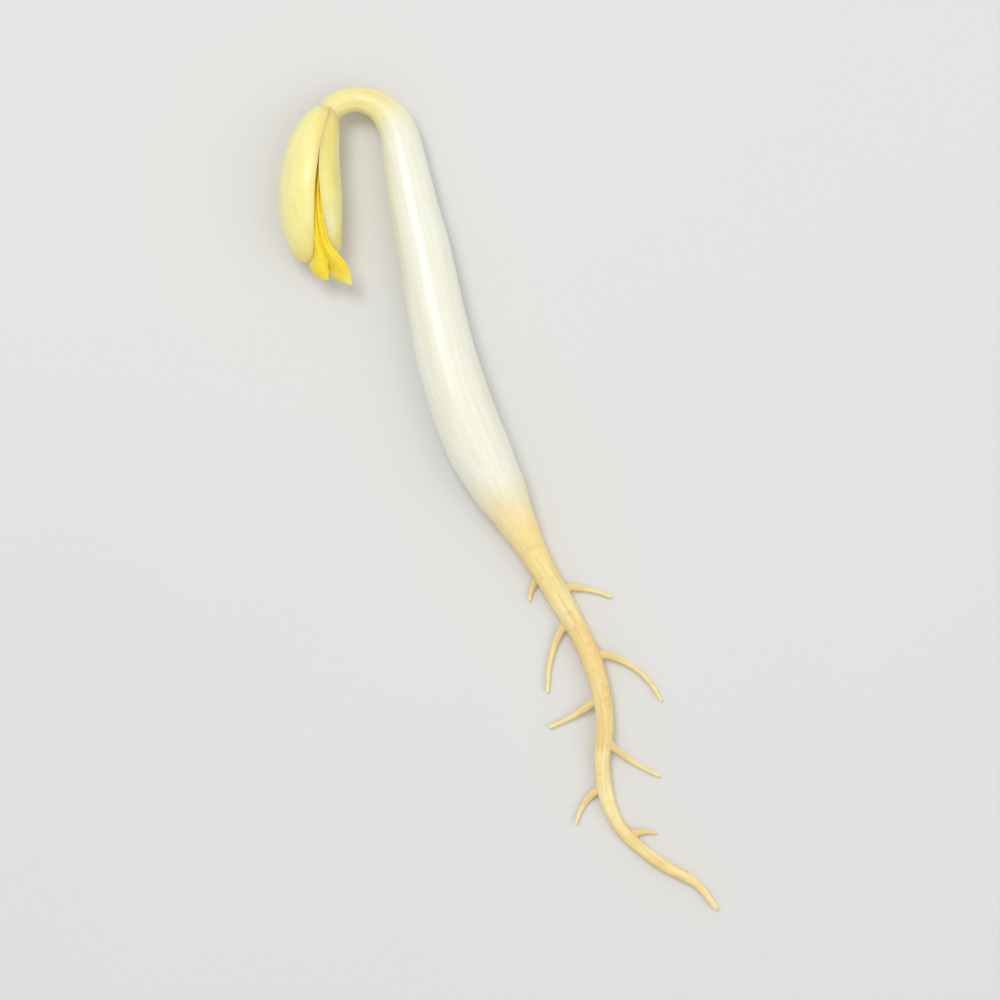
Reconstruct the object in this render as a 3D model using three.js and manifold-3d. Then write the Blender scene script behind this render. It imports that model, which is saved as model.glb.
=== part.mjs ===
// A mung bean sprout lying on its side on a flat surface. Millimetres, +Z up.
// It lies along Y, with the hook and the seed leaves at +Y and the root tip at -Y.
import * as THREE from 'three';
import { mergeVertices } from 'three/addons/utils/BufferGeometryUtils.js';
import Module from 'manifold-3d';

const wasm = await Module();
wasm.setup();

// ---- Stem (hypocotyl): where its axis runs in plan, its diameter there, and how high its
// underside is held above the surface. It starts at the node, where the seed leaves grow.
const STEM_STATIONS = [
  { x: -5.5, y: 12.35, across: 1.42, lift: 1.13 },
  { x: -5.02, y: 12.98, across: 1.34, lift: 1.1 },
  { x: -3.95, y: 13.37, across: 1.34, lift: 0.96 },
  { x: -2.72, y: 13.08, across: 1.62, lift: 0.64 },
  { x: -1.8, y: 12.05, across: 1.96, lift: 0.24 },
  { x: -1.34, y: 10.3, across: 2.3, lift: 0 },
  { x: -0.84, y: 7.85, across: 2.58, lift: 0 },
  { x: -0.26, y: 5.4, across: 2.82, lift: 0 },
  { x: 0.25, y: 2.7, across: 3.0, lift: 0 },
  { x: 0.85, y: 0, across: 3.16, lift: 0 },
  { x: 1.66, y: -2.7, across: 3.34, lift: 0 },
  { x: 2.62, y: -5.13, across: 3.36, lift: 0 },
  { x: 3.66, y: -7.2, across: 2.88, lift: 0 },
  { x: 4.56, y: -8.85, across: 2.12, lift: 0.02 },
  { x: 5.3, y: -10.2, across: 1.6, lift: 0.06 },
];
const STEM_SIDES = 18;
const STEM_STEPS = 58;
const OVALNESS = 0.025; // stem and root sections are this share wider than high
const SETTLE = 0.07; // how far the round underside is pressed flat where it lies
const DIAMETER_TENSION = 0.4; // how softly diameters change between stations
const END_DOME_DEGREES = [65, 40, 18]; // where the rings of a round end lie, from its tip

// ---- Root: the tap root goes on from the collar, where the stem ends
const ROOT_STATIONS = [
  { x: 5.3, y: -10.2, across: 1.56, lift: 0.08 },
  { x: 6.15, y: -11.75, across: 1.34, lift: 0.06 },
  { x: 7.5, y: -14.05, across: 1.18, lift: 0 },
  { x: 8.7, y: -16.5, across: 1.1, lift: 0.12 },
  { x: 9.35, y: -19.4, across: 0.98, lift: 0.3 },
  { x: 9.2, y: -22.2, across: 0.86, lift: 0.16 },
  { x: 9.95, y: -25.0, across: 0.76, lift: 0 },
  { x: 12.1, y: -27.1, across: 0.66, lift: 0.05 },
  { x: 14.2, y: -28.3, across: 0.52, lift: 0.12 },
  { x: 15.3, y: -29.6, across: 0.36, lift: 0.1 },
];
const ROOT_SIDES = 10;
const ROOT_STEPS = 56;
const ROOT_START = 0.004; // share of its length that the root leaves to the stem's end

// ---- Side rootlets: where each leaves the tap root (share of its length), to which side
// (+1 is +X), its length, the angle between it and the tap root, and how much that angle
// changes from foot to tip, in degrees
const ROOTLETS = [
  { at: 0.1, side: -1, length: 1.8, lean: 66, curl: -34 },
  { at: 0.15, side: 1, length: 3.1, lean: 60, curl: -28 },
  { at: 0.22, side: -1, length: 4.3, lean: 58, curl: -36 },
  { at: 0.31, side: 1, length: 4.9, lean: 56, curl: -62 },
  { at: 0.4, side: -1, length: 3.3, lean: 60, curl: 24 },
  { at: 0.49, side: 1, length: 3.6, lean: 54, curl: 22 },
  { at: 0.59, side: -1, length: 2.6, lean: 64, curl: -48 },
  { at: 0.7, side: 1, length: 1.6, lean: 58, curl: -20 },
];
const ROOTLET_ACROSS = 0.44;
const ROOTLET_TIP_SHARE = 0.5; // tip diameter as a share of the diameter at its foot
const ROOTLET_CLEARANCE = 0.02; // above the surface
const ROOTLET_SPANS = 4; // between the stations of its run
const ROOTLET_SIDES = 6;
const ROOTLET_STEPS = 8;

// ---- Seed leaves (cotyledons): a pair of half beans that hangs from the node along one axis
const PAIR_AXIS = [
  { x: -5.25, y: 13.05 },
  { x: -6.03, y: 10.5 },
  { x: -6.14, y: 7.6 },
  { x: -5.78, y: 4.8 },
];
const PAIR_HEIGHT = 1.83; // of the pair's axis above the surface
const PAIR_TURN = 12; // degrees that the seam leans to +X, from upright
const SEED_LEAF_WIDTH = 3.76;
const LEFT_THICKNESS = 1.66;
const RIGHT_THICKNESS = 1.42;
const BASE_GAP = 0.04; // between the two inner faces, at the node
const SPREAD = 3; // degrees from the node to a free end, which curves away from the seam
const PARTING = 2.4; // higher keeps the seed leaves together for longer
const SEED_LEAF_LEAN = 1.06; // above 1 the widest place is nearer the free end
const SEED_LEAF_FULLNESS = 0.37; // smaller is blunter
const BACK_FULLNESS = 0.9; // below 1 the back is fuller than a half circle
const INNER_HOLLOW = 0.14;
const SEED_LEAF_AROUND = 28;
const SEED_LEAF_RINGS = 22;

// ---- First leaves (plumule): two folded blades on a short stalk, in the seam
const BLADE_AXIS = [
  { x: -5.5, y: 12.2 },
  { x: -6.03, y: 10.0 },
  { x: -6.15, y: 7.4 },
  { x: -5.68, y: 5.2 },
  { x: -4.4, y: 3.25 },
];
// Each blade's place beside and above the axis, its reach along it, its width, and how far it
// drifts to +X and twists over once it is free of the seed leaves, in mm and degrees
const BLADES = [
  { shift: 0.2, rise: 0.34, reach: 1, width: 2.9, drift: 0.12, twist: 30 },
  { shift: -0.22, rise: 0.16, reach: 0.9, width: 2.7, drift: -0.3, twist: 44 },
];
const BLADE_THICKNESS = 0.66;
const BLADE_SLENDERNESS = 0.7; // above 1 the blade is more pointed
const BLADE_LEAN = 0.8; // below 1 the widest place is nearer the stalk
const STALK_ACROSS = 0.7;
const STALK_SHARE = 0.04; // of the blades' length is stalk
const BLADES_PART = [0.1, 0.35]; // shares of the length over which they part from one stalk
const BLADES_FREE = [0.7, 1]; // shares of the length over which they drift and twist
const BLADE_END_STEEPNESS = 3.2; // higher makes the ends blunter
const BLADE_END_ROUNDNESS = 0.6;
const BLADE_AROUND = 12;
const BLADE_RINGS = 20;

const CONTACT_GAP = 0.02; // between pieces that grow from each other
const WELD = 1e-5; // points of a skin that are closer than this are one point
const SURFACE_SLAB = 80; // side of the block that is cut away below the surface

// ---- Geometry helpers

// A smooth run through stations: the axis, and the diameter, on the same parameter.
function runThrough(stations) {
  const axis = new THREE.CatmullRomCurve3(
    stations.map((s) => {
      const height = s.lift > 0 ? s.lift + s.across / 2 : s.across / 2 - SETTLE;
      return new THREE.Vector3(s.x, s.y, height);
    }),
    false,
    'centripetal',
  );
  const widths = new THREE.CatmullRomCurve3(
    stations.map((s) => new THREE.Vector3(s.across, 0, 0)),
    false,
    'catmullrom',
    DIAMETER_TENSION,
  );
  return {
    point: (t) => axis.getPoint(t),
    across: (t) => widths.getPoint(t).x,
    // Axes of the section: along the run, to its side in plan, and up.
    section: (t) => {
      const along = axis.getTangent(t);
      const side = new THREE.Vector3().crossVectors(new THREE.Vector3(0, 0, 1), along).normalize();
      return { along, side, up: new THREE.Vector3().crossVectors(along, side).normalize() };
    },
  };
}

// A closed body through rings of equal count, with a point or a flat fan at either end.
function skin(rings, first, last) {
  const around = rings[0].length;
  const points = [first, ...rings.flat(), last];
  const corner = (ring, k) => 1 + ring * around + (k % around);
  const triangles = [];
  for (let k = 0; k < around; k += 1) {
    triangles.push(0, corner(0, k + 1), corner(0, k));
    for (let ring = 0; ring + 1 < rings.length; ring += 1) {
      const [a, b] = [corner(ring, k), corner(ring, k + 1)];
      const [c, d] = [corner(ring + 1, k), corner(ring + 1, k + 1)];
      triangles.push(a, b, c, b, d, c);
    }
    triangles.push(points.length - 1, corner(rings.length - 1, k), corner(rings.length - 1, k + 1));
  }
  const geometry = new THREE.BufferGeometry().setFromPoints(points);
  geometry.setIndex(triangles);
  return geometry;
}

// A tapering tube along a run. A round end bulges by half its diameter, a flat one by nothing.
function tube(run, { sides, steps, from = 0, roundStart, roundEnd, grow = 0 }) {
  const ring = (t, squeeze, push) => {
    const { along, side, up } = run.section(t);
    const half = run.across(t) / 2 + grow;
    const centre = run.point(t).addScaledVector(along, push * half);
    return Array.from({ length: sides }, (_, k) => {
      const angle = (2 * Math.PI * k) / sides;
      return centre
        .clone()
        .addScaledVector(side, Math.cos(angle) * half * squeeze * (1 + OVALNESS))
        .addScaledVector(up, Math.sin(angle) * half * squeeze);
    });
  };
  const tip = (t, push) => {
    const half = run.across(t) / 2 + grow;
    return run.point(t).addScaledVector(run.section(t).along, push * half);
  };
  const dome = END_DOME_DEGREES.map((degrees) => THREE.MathUtils.degToRad(degrees));
  const rings = [];
  if (roundStart) dome.forEach((a) => rings.push(ring(from, Math.cos(a), -Math.sin(a))));
  for (let i = 0; i <= steps; i += 1) rings.push(ring(from + ((1 - from) * i) / steps, 1, 0));
  if (roundEnd) [...dome].reverse().forEach((a) => rings.push(ring(1, Math.cos(a), Math.sin(a))));
  return skin(rings, tip(from, roundStart ? -1 : 0), tip(1, roundEnd ? 1 : 0));
}

function solid(geometry) {
  const bare = geometry.clone();
  bare.deleteAttribute('normal');
  bare.deleteAttribute('uv');
  const merged = mergeVertices(bare, WELD);
  return new wasm.Manifold(
    new wasm.Mesh({
      numProp: 3,
      vertProperties: new Float32Array(merged.attributes.position.array),
      triVerts: new Uint32Array(merged.index.array),
    }),
  );
}

// The largest body of a solid: a cut can leave loose scraps, which are dropped.
function largest(body) {
  return body.decompose().reduce((best, one) => (one.volume() > best.volume() ? one : best));
}

function mesh(name, body, material) {
  const { vertProperties, triVerts } = body.getMesh();
  const geometry = new THREE.BufferGeometry();
  geometry.setAttribute('position', new THREE.BufferAttribute(new Float32Array(vertProperties), 3));
  geometry.setIndex(new THREE.BufferAttribute(new Uint32Array(triVerts), 1));
  const piece = new THREE.Mesh(geometry, material);
  piece.name = name;
  return piece;
}

// The space above the surface: what is pressed below it is cut away flat.
function aboveSurface(body) {
  const slab = new THREE.BoxGeometry(SURFACE_SLAB, SURFACE_SLAB, SURFACE_SLAB);
  slab.translate(0, 0, -SURFACE_SLAB / 2);
  return largest(body.subtract(solid(slab)));
}

// ---- Pieces

function stemBody(grow = 0) {
  const run = runThrough(STEM_STATIONS);
  return solid(tube(run, { sides: STEM_SIDES, steps: STEM_STEPS, roundStart: true, grow }));
}

// One side rootlet: it leaves the tap root's middle, arches out and comes down to lie low.
function rootlet(tapRoot, { at, side, length, lean, curl }) {
  const place = tapRoot.point(at);
  const { along, side: sideways } = tapRoot.section(at);
  const stations = [];
  for (let i = 0; i <= ROOTLET_SPANS; i += 1) {
    const share = i / ROOTLET_SPANS;
    const across = ROOTLET_ACROSS * (1 - share * (1 - ROOTLET_TIP_SHARE));
    const height = Math.max(ROOTLET_ACROSS / 2, place.z * (1 - share));
    stations.push({ x: place.x, y: place.y, across, lift: height - across / 2 + ROOTLET_CLEARANCE });
    const turn = THREE.MathUtils.degToRad(lean + curl * share);
    place.addScaledVector(along, (Math.cos(turn) * length) / ROOTLET_SPANS);
    place.addScaledVector(sideways, (side * Math.sin(turn) * length) / ROOTLET_SPANS);
  }
  return solid(
    tube(runThrough(stations), { sides: ROOTLET_SIDES, steps: ROOTLET_STEPS, roundEnd: true }),
  );
}

function rootBody() {
  const run = runThrough(ROOT_STATIONS);
  const tap = tube(run, {
    sides: ROOT_SIDES,
    steps: ROOT_STEPS,
    from: ROOT_START,
    roundEnd: true,
  });
  return ROOTLETS.reduce((body, one) => body.add(rootlet(run, one)), solid(tap));
}

// The pair's own axes at a share of its length: level, up the seam, and across it from the left
// seed leaf to the right one. A twist turns the last two about the pair's length.
function pairAxes(curve, share, twist = 0) {
  const along = curve.getTangent(share);
  const turn = THREE.MathUtils.degToRad(PAIR_TURN + twist);
  const level = new THREE.Vector3(-along.y, along.x, 0).normalize();
  const upSeam = new THREE.Vector3(0, 0, Math.cos(turn)).addScaledVector(level, Math.sin(turn));
  return { level, upSeam, across: new THREE.Vector3().crossVectors(upSeam, along).normalize() };
}

function planCurve(points) {
  const places = points.map((p) => new THREE.Vector3(p.x, p.y, PAIR_HEIGHT));
  return new THREE.CatmullRomCurve3(places, false, 'centripetal');
}

// Shares that crowd towards both ends, so that round ends are round.
function crowdedShares(count) {
  return Array.from({ length: count - 1 }, (_, i) => (1 - Math.cos((Math.PI * (i + 1)) / count)) / 2);
}

// A half bean: a full round back and a slightly hollowed inner face, narrower at the node.
// hand is -1 for the left one and +1 for the right one.
function seedLeafGeometry(hand, thickness) {
  const curve = planCurve(PAIR_AXIS);
  const swing = curve.getLength() * Math.tan(THREE.MathUtils.degToRad(SPREAD));
  const middle = (share) =>
    curve
      .getPoint(share)
      .addScaledVector(pairAxes(curve, share).across, hand * (BASE_GAP / 2 + share ** PARTING * swing));
  const rings = crowdedShares(SEED_LEAF_RINGS).map((share) => {
    const bulge = Math.sin(Math.PI * share ** SEED_LEAF_LEAN) ** SEED_LEAF_FULLNESS;
    const { across, upSeam } = pairAxes(curve, share);
    return Array.from({ length: SEED_LEAF_AROUND }, (_, k) => {
      const angle = (-hand * 2 * Math.PI * k) / SEED_LEAF_AROUND;
      const back = Math.sin(angle);
      const depth = back > 0 ? thickness * back ** BACK_FULLNESS : INNER_HOLLOW * back ** 2;
      return middle(share)
        .addScaledVector(upSeam, (Math.cos(angle) * SEED_LEAF_WIDTH * bulge) / 2)
        .addScaledVector(across, hand * depth * bulge);
    });
  });
  return skin(rings, middle(0), middle(1));
}

// One first leaf: a short stalk that widens into a folded, lens-shaped blade.
function blade({ shift, rise, reach, width, drift, twist }, grow = 0) {
  const curve = planCurve(BLADE_AXIS);
  const middle = (share) => {
    const { level, across, upSeam } = pairAxes(curve, share * reach);
    const parted = THREE.MathUtils.smoothstep(share, ...BLADES_PART);
    return curve
      .getPoint(share * reach)
      .addScaledVector(across, shift * parted)
      .addScaledVector(upSeam, rise * parted)
      .addScaledVector(level, drift * THREE.MathUtils.smoothstep(share, ...BLADES_FREE));
  };
  const rings = crowdedShares(BLADE_RINGS).map((share) => {
    const over = twist * THREE.MathUtils.smoothstep(share, ...BLADES_FREE);
    const { across, upSeam } = pairAxes(curve, share * reach, over);
    const grown = Math.max(0, (share - STALK_SHARE) / (1 - STALK_SHARE));
    const spread = Math.sin(Math.PI * grown ** BLADE_LEAN) ** BLADE_SLENDERNESS;
    const rounding = Math.min(1, Math.sin(Math.PI * share) * BLADE_END_STEEPNESS);
    const closing = rounding ** BLADE_END_ROUNDNESS;
    const wide = ((STALK_ACROSS + (width - STALK_ACROSS) * spread) * closing) / 2 + grow;
    const thick = (BLADE_THICKNESS * closing) / 2 + grow;
    return Array.from({ length: BLADE_AROUND }, (_, k) => {
      const angle = (-2 * Math.PI * k) / BLADE_AROUND;
      return middle(share)
        .addScaledVector(upSeam, Math.cos(angle) * wide)
        .addScaledVector(across, Math.sin(angle) * thick);
    });
  });
  return solid(skin(rings, middle(0), middle(1)));
}

function bladesBody(grow = 0) {
  const [first, ...others] = BLADES.map((one) => blade(one, grow));
  return others.reduce((body, one) => body.add(one), first);
}

// A seed leaf is hollowed where the stem's end and the first leaves are held.
function seedLeafBody(hand, thickness) {
  return solid(seedLeafGeometry(hand, thickness))
    .subtract(stemBody(CONTACT_GAP))
    .subtract(bladesBody(CONTACT_GAP));
}

// ---- Materials
const FINISHES = {
  stem: { color: 0xf4f0e2, roughness: 0.32, metalness: 0 },
  root: { color: 0xdcbd8f, roughness: 0.6, metalness: 0 },
  seedLeaf: { color: 0xf5e596, roughness: 0.42, metalness: 0 },
  firstLeaf: { color: 0xf3d02a, roughness: 0.45, metalness: 0 },
};
const finish = (name) => new THREE.MeshStandardMaterial({ name, ...FINISHES[name] });

// ---- The sprout
const sprout = new THREE.Group();
sprout.add(mesh('hypocotyl', aboveSurface(stemBody()), finish('stem')));
sprout.add(mesh('root', aboveSurface(rootBody().subtract(stemBody(CONTACT_GAP))), finish('root')));
const leftLeaf = aboveSurface(seedLeafBody(-1, LEFT_THICKNESS));
const rightLeaf = aboveSurface(seedLeafBody(1, RIGHT_THICKNESS));
sprout.add(mesh('seed_leaf_left', leftLeaf, finish('seedLeaf')));
sprout.add(mesh('seed_leaf_right', rightLeaf, finish('seedLeaf')));
const firstLeaves = bladesBody().subtract(stemBody(CONTACT_GAP));
sprout.add(mesh('primary_leaves', aboveSurface(firstLeaves), finish('firstLeaf')));

// The origin is on the surface, under the middle of the whole sprout.
const middle = new THREE.Box3().setFromObject(sprout).getCenter(new THREE.Vector3());
sprout.position.set(-middle.x, -middle.y, 0);

const group = new THREE.Group();
group.add(sprout);

export default group;
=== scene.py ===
# %% [markdown]
# # A mung bean sprout, built as a lesson
#
# A sprout is a seedling a few days old. From top to bottom it has a pair of seed leaves, which
# were the two halves of the bean, the tips of the first true leaves between them, a white stem
# that bends over in a hook just under the seed leaves, and a thin tan root with a few rootlets.
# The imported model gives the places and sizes. This lesson dresses each of its solids with a fine
# surface and a finish, and changes none of its sizes.

import math

import bmesh
import bpy
import numpy as np
from mathutils import Matrix, Vector, noise
from mathutils.bvhtree import BVHTree


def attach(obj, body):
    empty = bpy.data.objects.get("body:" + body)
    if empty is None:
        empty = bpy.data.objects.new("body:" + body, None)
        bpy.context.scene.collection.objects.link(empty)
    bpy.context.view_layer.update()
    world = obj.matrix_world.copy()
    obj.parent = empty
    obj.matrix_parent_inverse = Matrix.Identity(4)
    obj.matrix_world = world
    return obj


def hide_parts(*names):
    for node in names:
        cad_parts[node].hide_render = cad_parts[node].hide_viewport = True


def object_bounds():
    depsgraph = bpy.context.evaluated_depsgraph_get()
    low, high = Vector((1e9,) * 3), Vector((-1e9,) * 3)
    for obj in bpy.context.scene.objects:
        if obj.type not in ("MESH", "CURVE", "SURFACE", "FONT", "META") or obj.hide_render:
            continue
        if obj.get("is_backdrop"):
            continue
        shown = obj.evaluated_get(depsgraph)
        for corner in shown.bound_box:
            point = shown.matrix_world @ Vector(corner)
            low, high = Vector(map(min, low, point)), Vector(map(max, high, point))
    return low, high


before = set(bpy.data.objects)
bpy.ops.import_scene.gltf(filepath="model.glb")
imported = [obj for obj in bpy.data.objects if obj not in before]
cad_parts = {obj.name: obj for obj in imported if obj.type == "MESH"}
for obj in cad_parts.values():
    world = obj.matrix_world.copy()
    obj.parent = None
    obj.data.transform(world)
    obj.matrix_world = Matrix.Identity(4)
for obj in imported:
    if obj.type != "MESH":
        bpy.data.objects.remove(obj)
cad_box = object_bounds()
MM = 0.001
print("solids:", sorted(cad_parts))
print("size in mm:", [round((high - low) / MM, 2) for low, high in zip(*cad_box)])

# %% [markdown]
# ## The camera
#
# The sprout lies on a flat surface and is seen from straight above. A short lens close by would
# make the seed leaves, which stand highest, look larger than they are. A long lens from further
# away keeps everything at one scale. Its distance is worked out from the share of the picture
# that the sprout should fill.

# %% Set the camera above the sprout
LENS = 100.0
SENSOR = 36.0
SHARE_OF_PICTURE = 0.84
NEAREST, FURTHEST = 0.002, 5.0  # the camera draws what lies between these distances, in m

low, high = Vector(cad_box[0]), Vector(cad_box[1])
middle = (low + high) / 2
view_height = (high.y - low.y) / SHARE_OF_PICTURE
bpy.ops.object.select_all(action="DESELECT")
bpy.ops.object.camera_add(
    location=(middle.x, middle.y, high.z + view_height * LENS / SENSOR), rotation=(0, 0, 0)
)
camera = bpy.context.object
camera.data.lens = LENS
camera.data.sensor_width = SENSOR
camera.data.clip_start = NEAREST
camera.data.clip_end = FURTHEST
bpy.context.scene.camera = camera
print("camera height in mm:", round(camera.location.z / MM, 1))

# %% [markdown]
# ## One way of working for every piece
#
# Everything on a sprout is longer than it is wide and bends as it goes. A curve with a bevel
# makes such a tube, but with one shape of section all along, and here the sections are round,
# half a bean or a folded leaf. So each piece is modelled as by hand: a circle is added at one
# end, and its ring is extruded, moved, turned and resized from place to place, on a smooth curve
# through a few chosen places. The work is done at a thousand times life size, in millimetres,
# because many tools merge points that are closer than a tenth of a millimetre.

# %% A curve that passes smoothly through its places
def eased(share, start, end):
    """Rises smoothly from 0 at start to 1 at end."""
    part = min(max((share - start) / (end - start), 0), 1)
    return part * part * (3 - 2 * part)


def bend_through(before, start, end, after, share):
    """A point between start and end on a curve that also heads for its two neighbours."""
    gaps = [math.sqrt((b - a).length) for a, b in ((before, start), (start, end), (end, after))]
    first, main, last = gaps
    leave = (start - before) / first - (end - before) / (first + main) + (end - start) / main
    arrive = (end - start) / main - (after - start) / (main + last) + (after - end) / last
    leave, arrive = leave * main, arrive * main
    cubic = 2 * start - 2 * end + leave + arrive
    square = 3 * end - 3 * start - 2 * leave - arrive
    return start + leave * share + square * share**2 + cubic * share**3


corner = [Vector(place) for place in ((0, 0, 0), (1, 0, 0), (1, 1, 0), (0, 1, 0))]
print("half way round a square corner:", [round(c, 2) for c in bend_through(*corner, 0.5)])

# %% Even shares of a line, and shares that crowd towards its ends
END_GAP = 0.35  # of a step, kept free at either end, where a shape would close to a point


def even_shares(count, start=0.0, end=1.0):
    return [start + (end - start) * i / (count - 1) for i in range(count)]


def crowded_shares(count):
    """Shares that crowd towards both ends, where a round end turns fastest."""
    steps = count - 1 + 2 * END_GAP
    return [(1 - math.cos(math.pi * (i + END_GAP) / steps)) / 2 for i in range(count)]


print("five crowded shares:", [round(share, 2) for share in crowded_shares(5)])

# %% A smooth line
LOOK_AHEAD = 1e-3  # share of a line over which its direction is read
LENGTH_SHARES = 40  # places at which a line is read to measure it


class Line:
    """A smooth line through places, read at a share from 0 at its start to 1 at its end."""

    def __init__(self, places):
        self.places = places

    def span(self, share):
        """The number of the place before a share, and how far on to the next place it is."""
        reach = min(max(share, 0.0), 1.0) * (len(self.places) - 1)
        first = min(int(reach), len(self.places) - 2)
        return first, reach - first

    def at(self, share):
        first, part = self.span(share)
        p = self.places
        before = p[first - 1] if first > 0 else 2 * p[0] - p[1]
        after = p[first + 2] if first + 2 < len(p) else 2 * p[-1] - p[-2]
        return bend_through(before, p[first], p[first + 1], after, part)

    def along(self, share):
        return (self.at(share + LOOK_AHEAD) - self.at(share - LOOK_AHEAD)).normalized()

    def length(self):
        places = [self.at(share) for share in even_shares(LENGTH_SHARES)]
        return sum((b - a).length for a, b in zip(places, places[1:]))


print("a line round three sides of a square:", round(Line(corner).length(), 2), "sides long")

# %% [markdown]
# ## The stem
#
# The stem, or hypocotyl, is juicy and nearly round. It is thinnest in the hook, thickens to
# more than 3 mm low down and then tapers within a few millimetres to the collar, where the root
# begins. A cylinder could be bent and scaled to that by hand, but it would be hard to change
# later. Here a few stations say where it runs, how thick it is and how high its underside is.
# Where it lies on the surface it is let in a little, as its weight presses it flat there.

# %% A run: a line with a thickness and a roll
UP = Vector((0, 0, 1))
SETTLE = 0.07  # how far the round underside is pressed flat where it lies, in mm


class Run(Line):
    """A centre line through stations of x, y, diameter and lift above the surface, in mm."""

    def __init__(self, stations, roll=0.0):
        middles = [
            Vector((x, y, (lift if lift > 0 else -SETTLE) + across / 2))
            for x, y, across, lift in stations
        ]
        super().__init__(middles)
        self.roll = math.radians(roll)
        self.widths = [across for _, _, across, _ in stations]

    def half(self, share):
        """Half the thickness, which changes half evenly and half eased between stations."""
        first, part = self.span(share)
        start, end = self.widths[first : first + 2]
        return (start + (end - start) * (part + eased(part, 0, 1)) / 2) / 2

    def level_side(self, share):
        """The level direction to the side of the run, to its left as it goes."""
        along = self.along(share)
        along.z = 0
        return UP.cross(along.normalized())

    def axes(self, share, twist=0.0):
        """Directions to the side of the run and up from it, turned by its roll and a twist."""
        side = self.level_side(share)
        turn = self.roll + twist
        up = UP * math.cos(turn) + side * math.sin(turn)
        return side * math.cos(turn) - UP * math.sin(turn), up


peg = Run(((0, 0, 1, 0), (0, 10, 1, 0)))
print("a peg 1 mm thick, let into the surface, has its middle at", round(peg.at(0.5).z, 2), "mm")

# %% Lay out the stem
STEM_STATIONS = (
    # x, y, diameter, lift of the underside, from the node to the collar
    (-5.5, 12.35, 1.42, 1.13),
    (-5.02, 12.98, 1.34, 1.1),
    (-3.95, 13.37, 1.34, 0.96),
    (-2.72, 13.08, 1.62, 0.64),
    (-1.8, 12.05, 1.96, 0.24),
    (-1.34, 10.3, 2.3, 0),
    (-0.84, 7.85, 2.58, 0),
    (-0.26, 5.4, 2.82, 0),
    (0.25, 2.7, 3.0, 0),
    (0.85, 0, 3.16, 0),
    (1.66, -2.7, 3.34, 0),
    (2.62, -5.13, 3.36, 0),
    (3.66, -7.2, 2.88, 0),
    (4.56, -8.85, 2.12, 0.02),
    (5.3, -10.2, 1.6, 0.06),
)

stem_run = Run(STEM_STATIONS)
print("the stem is", round(stem_run.length(), 1), "mm long")

# %% [markdown]
# ## Rings along the stem
#
# With few rings the hook would look like a pipe bent in steps, so the stem gets many. Rings that
# close in round off both ends. The lower end runs on inside the root as a long point, because a
# plain round end would show as a step at the collar.

# %% Set the stem's rings
STEM_RINGS = 84
STEM_POINT = 2.4  # the stem's end inside the root is this much longer than a half ball
DOME_DEGREES = (82, 66, 50, 34, 18)  # how far round a round end each of its rings lies


class Ring:
    """One ring of a piece: its middle, its two axes and its two half sizes."""

    def __init__(self, middle, axes, wide, high):
        self.middle = middle
        self.side, self.up = axes
        self.wide, self.high = wide, high

    def matrix(self):
        """Columns: side, up and the direction that the ring looks in."""
        columns = (self.side, self.up, self.side.cross(self.up))
        return Matrix(columns).transposed()


def round_rings(run, shares, end_reach=1.0):
    """Rings of a tube, with rings that close in at either end to round it off."""

    def dome(share, reach, degrees):
        out = run.along(share) * reach * math.sin(math.radians(degrees)) * run.half(share)
        size = run.half(share) * math.cos(math.radians(degrees))
        return Ring(run.at(share) + out, run.axes(share), size, size)

    rings = [Ring(run.at(s), run.axes(s), run.half(s), run.half(s)) for s in shares]
    first = [dome(shares[0], -1, degrees) for degrees in DOME_DEGREES]
    last = [dome(shares[-1], end_reach, degrees) for degrees in reversed(DOME_DEGREES)]
    return first + rings + last


stem_rings = round_rings(stem_run, even_shares(STEM_RINGS), STEM_POINT)
print("the stem has", len(stem_rings), "rings")

# %% [markdown]
# ## From ring to ring
#
# Turning a ring about one axis and then about another would twist it a little each time, and
# the twists would add up round the hook. So each ring is turned once, about the one axis that
# takes its old directions to its new ones. The operator is told its centre, because with no
# window open it ignores the pivot setting. The ring is then resized along its own two axes.
# Subdivision smooths the skin in the end. It draws every ring in a little, so the first circle
# starts that much too large.

# %% Turn what is selected from one ring to the next
def turn_between(before, after):
    """The one axis and angle that take the first ring's directions to the second's."""
    return (after.matrix() @ before.matrix().transposed()).to_quaternion().to_axis_angle()


def turn_selection(before, after):
    axis, angle = turn_between(before, after)
    bpy.ops.transform.rotate(
        value=angle,
        orient_axis="Z",
        orient_matrix=axis.to_track_quat("Z", "Y").to_matrix(),
        orient_matrix_type="GLOBAL",
        orient_type="GLOBAL",
        constraint_axis=(False, False, True),
        center_override=after.middle,
    )


whole_turn = turn_between(stem_rings[0], stem_rings[-1])[1]
print("the stem's last ring is turned", round(math.degrees(whole_turn)), "degrees from its first")

# %% Start with a shaped circle on the first ring
def subdivision_allowance(sides):
    """How many times too large a ring starts, because subdivision draws it in by as much."""
    return 3 / (2 + math.cos(math.tau / sides))


def start_ring(name, ring, sides, shape):
    bpy.ops.object.select_all(action="DESELECT")
    bpy.ops.mesh.primitive_circle_add(
        vertices=sides, radius=subdivision_allowance(sides), fill_type="NGON"
    )
    piece = bpy.context.object
    piece.name = piece.data.name = name
    bpy.ops.object.mode_set(mode="EDIT")
    if shape:
        shape(piece)
    bpy.ops.mesh.select_all(action="SELECT")
    bpy.ops.transform.resize(value=(ring.wide, ring.high, 1), center_override=(0, 0, 0))
    bpy.ops.object.mode_set(mode="OBJECT")
    piece.matrix_world = Matrix.Translation(ring.middle) @ ring.matrix().to_4x4()
    bpy.ops.object.transform_apply()
    return piece


print("a ring of 8 sides starts", round(subdivision_allowance(8), 3), "times its size")

# %% Extrude the stem's skin from ring to ring
STEM_SIDES = 20


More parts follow.
